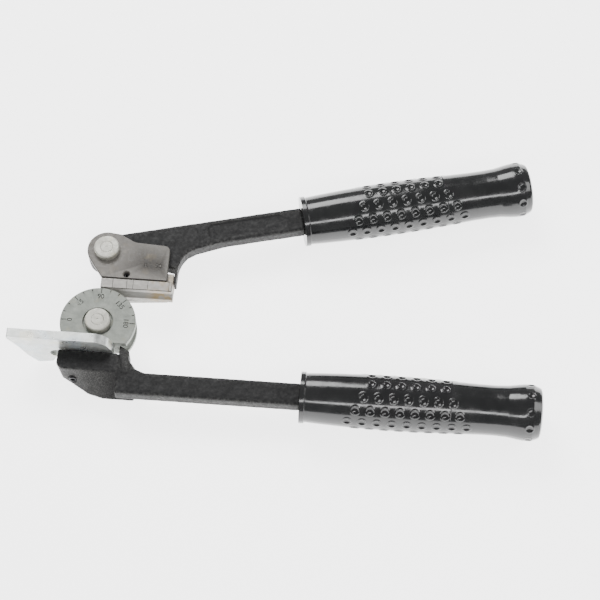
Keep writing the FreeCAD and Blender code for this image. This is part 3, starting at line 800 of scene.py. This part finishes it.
def shoe():
    """Rail, ear and web, each with eased edges, and the marks cut into them."""
    lowest, highest = low("slide_shoe"), high("slide_shoe")
    face = highest.z
    along_x = Matrix(((0, 0, 1, RAIL_LEFT), (1, 0, 0, 0), (0, 1, 0, 0), (0, 0, 0, 1)))
    rail = prism("rail", rail_outline(), along_x, highest.x - RAIL_LEFT)
    bevelled(rail, 0.3 * MM, 50, 3)
    half_line = 0.12 * MM
    marks = [block("index", (x * MM - half_line, lowest.y - MM, face - SHOE_MARK_DEPTH),
                   (x * MM + half_line, lowest.y + 6 * MM, face + MM)) for x in SHOE_MARKS]
    cut(rail, joined("marks", marks))
    ear = prism("ear", ear_outline(), Matrix.Translation((0, 0, face - EAR_THICKNESS)), EAR_THICKNESS)
    bevelled(ear, 0.3 * MM, 50, 3)
    screw = (low("set_screw") + high("set_screw")) / 2
    figure_row = 33.4 * MM
    figures = [figure(text, 3.2 * MM, Matrix.Translation((x * MM, figure_row, face)), 0.25 * MM)
               for text, x in (("R", 20.6), ("90", 27.0))]
    cut(ear, joined("figures", figures))
    rim = [(1.6 * MM, face - 0.5 * MM), (2.1 * MM, face + 0.1 * MM)]
    cut(ear, screw_hole(1.6 * MM, face - 3 * MM, face + 0.1 * MM, screw, rim))
    web_top = low("set_screw").y + 4.35 * MM
    web = block("web", (RAIL_LEFT + 0.1 * MM, lowest.y + 5.2 * MM, lowest.z),
                (highest.x, web_top, face - EAR_THICKNESS - 0.05 * MM))
    bevelled(web, 0.25 * MM, 50, 2)
    cut(web, screw_hole(SCREW_BORE, face - 8 * MM, face, screw))
    piece = joined("shoe_body", [rail, ear, web])
    mark_engraved(piece, face, SHOE_MARK_DEPTH, lambda spot: (spot.xy - screw.xy).length > 2.6 * MM)
    place_piece(piece, "shoe_link", "gunmetal", ["slide_shoe"], sharp=32, flat=True)


def link():
    piece = copy_node("link_plate", "link_stamping")
    clean(piece)
    bevelled(piece, 0.35 * MM, 42, 3)
    place_piece(piece, "shoe_link", "gunmetal", ["link_plate"], sharp=32, flat=True)


def set_screw():
    """A socket set screw with its hexagon."""
    base, top = low("set_screw"), high("set_screw")
    centre = (base + top) / 2
    profile = softened([(0, base.z), (1.5 * MM, base.z), (1.5 * MM, top.z), (0, top.z)],
                       [0, 0.2 * MM, 0.25 * MM, 0], 3, closed=False)
    piece = lathe("set_screw_body", profile[::-1], centre, 64)
    hexagon = [(0.85 * MM * math.cos(math.radians(60 * k)), 0.85 * MM * math.sin(math.radians(60 * k)))
               for k in range(6)]
    place = Matrix.Translation((centre.x, centre.y, top.z - 1.6 * MM))
    cut(piece, prism("hexagon", hexagon, place, 3 * MM))
    place_piece(piece, "shoe_link", "oxide_steel", ["set_screw"], sharp=32, flat=True)


# ---- latch ----------------------------------------------------------------------------------

def latch():
    near, far = low("latch"), high("latch")
    left, top = near.x / MM, far.z / MM
    seat = (TUBE_RADIUS / MM) + 0.02
    mid = MID_LEVEL / MM
    tip = far.x / MM
    pin = (LATCH_AXIS.x / MM, LATCH_AXIS.z / MM)
    outline = [(left, top), (left, top - 2.0), (left + 5.5, mid + 4), (left + 9.0, mid - 4),
               (left + 14, mid - 11),
               (-21.5, mid - 9), (-19, mid - seat), (-19, mid + seat), (pin[0] - 4.5, mid + seat),
               (pin[0] - 4.5, pin[1] - 2.5), (pin[0] - 2, pin[1] - 4.6), (pin[0] + 3, pin[1] - 4.6),
               (tip, mid + 2),
               (tip - 0.6, mid + 6.5), (tip - 3, top - 3.2), (tip - 7, top)]
    radii = [0.8, 0.9, 7, 9, 2.2, 1.5, 0.4, 0.4, 1.0, 1.5, 2.5, 3, 0.8, 6, 6, 7]
    rounded = softened(outline, radii, 8)
    place = Matrix.Translation((0, far.y, 0)) @ Matrix.Rotation(math.pi / 2, 4, "X")
    piece = prism("latch_plate", [(u * MM, v * MM) for u, v in rounded], place, far.y - near.y)
    for name, x, z, radius in (("seat_cutter", -19, mid, seat), ("bore_cutter", pin[0], pin[1], LATCH_BORE)):
        disc = [(radius * MM * math.cos(math.radians(6 * k)), radius * MM * math.sin(math.radians(6 * k)))
                for k in range(60)]
        spot = Matrix.Translation((x * MM, far.y + MM, z * MM)) @ Matrix.Rotation(math.pi / 2, 4, "X")
        cut(piece, prism(name, disc, spot, far.y - near.y + 2 * MM))
    clean(piece, 0.2)
    bevelled(piece, 0.3 * MM, 40, 3)
    place_piece(piece, "latch_body", "zinc_plate", ["latch"], sharp=32, flat=True)


# ---- hidden hardware keeps its CAD shape ----------------------------------------------------

def plain_nodes():
    slots = {part["node"]: part["material_slot"] for part in frame["record"]["subparts"]}
    for node in ("wheel_screws", "main_collar", "thrust_washer", "shoe_screws", "main_bush",
                 "handle_collar", "handle_spacer", "handle_bush"):
        mesh = frame["nodes"][node].data
        mesh.materials.clear()
        mesh.materials.append(MATERIALS[slots[node]])


# ---- stage ----------------------------------------------------------------------------------

def stage():
    floor = from_lists("floor", [(-4, -4, 0), (4, -4, 0), (4, 4, 0), (-4, 4, 0)], [(0, 1, 2, 3)])
    n = Nodes("pale_floor")
    color = n.mix(n.noise(40, 3), (0.86, 0.86, 0.86), (0.88, 0.88, 0.88))
    n.shader.inputs["Emission Color"].default_value = (1, 1, 1, 1)
    n.shader.inputs["Emission Strength"].default_value = 3.2
    roughness = n.spread(n.noise(10, 3), 0, 1, 0.7, 0.8)
    floor.data.materials.append(n.finish(color, roughness, n.bump(n.noise(2, 2), 0.01)))
    world = bpy.data.worlds.new("studio")
    SCENE.world = world
    world.use_nodes = True
    world.node_tree.nodes["Background"].inputs["Color"].default_value = (1, 1, 1, 1)
    world.node_tree.nodes["Background"].inputs["Strength"].default_value = 0.42
    middle = Vector((0.1, 0.02, 0.014))
    lamps = (("key", (-0.25, 0.75, 0.85), (0.7, 0.5), 13), ("strip", (0.35, -0.55, 0.75), (0.9, 0.12), 4.5),
             ("fill", (0.9, 0.1, 0.6), (0.5, 0.5), 4))
    for name, spot, size, power in lamps:
        data = bpy.data.lights.new(name, "AREA")
        data.shape = "RECTANGLE"
        data.size, data.size_y = size
        data.energy = power
        lamp = bpy.data.objects.new(name, data)
        lamp.location = spot
        lamp.rotation_euler = (middle - Vector(spot)).to_track_quat("-Z", "Y").to_euler()
        SCENE.collection.objects.link(lamp)


def camera():
    """The view from above the form handle, about two thirds of the way up."""
    elevation, turn, distance = math.radians(62.5), math.radians(4.3), 1.10
    target = Vector((0.0994, 0.0226, MID_LEVEL))
    away = Vector((math.sin(turn) * math.cos(elevation), -math.cos(turn) * math.cos(elevation),
                   math.sin(elevation)))
    data = bpy.data.cameras.new("camera")
    data.lens = 131
    data.sensor_width = 36
    data.clip_start = 0.01
    eye = bpy.data.objects.new("camera", data)
    eye.location = target + away * distance
    eye.rotation_euler = (-away).to_track_quat("-Z", "Y").to_euler()
    SCENE.collection.objects.link(eye)
    SCENE.camera = eye


grips()
forgings()
wheel()
headed_pin("main_pin_turning", "main_pin", "form_handle_body", "nickel_pin", BEND_AXIS)
headed_pin("handle_pin_turning", "handle_pin", "shoe_link", "nickel_pin", HANDLE_AXIS)
roll_pin()
shoe()
link()
set_screw()
latch()
plain_nodes()
stage()
camera()
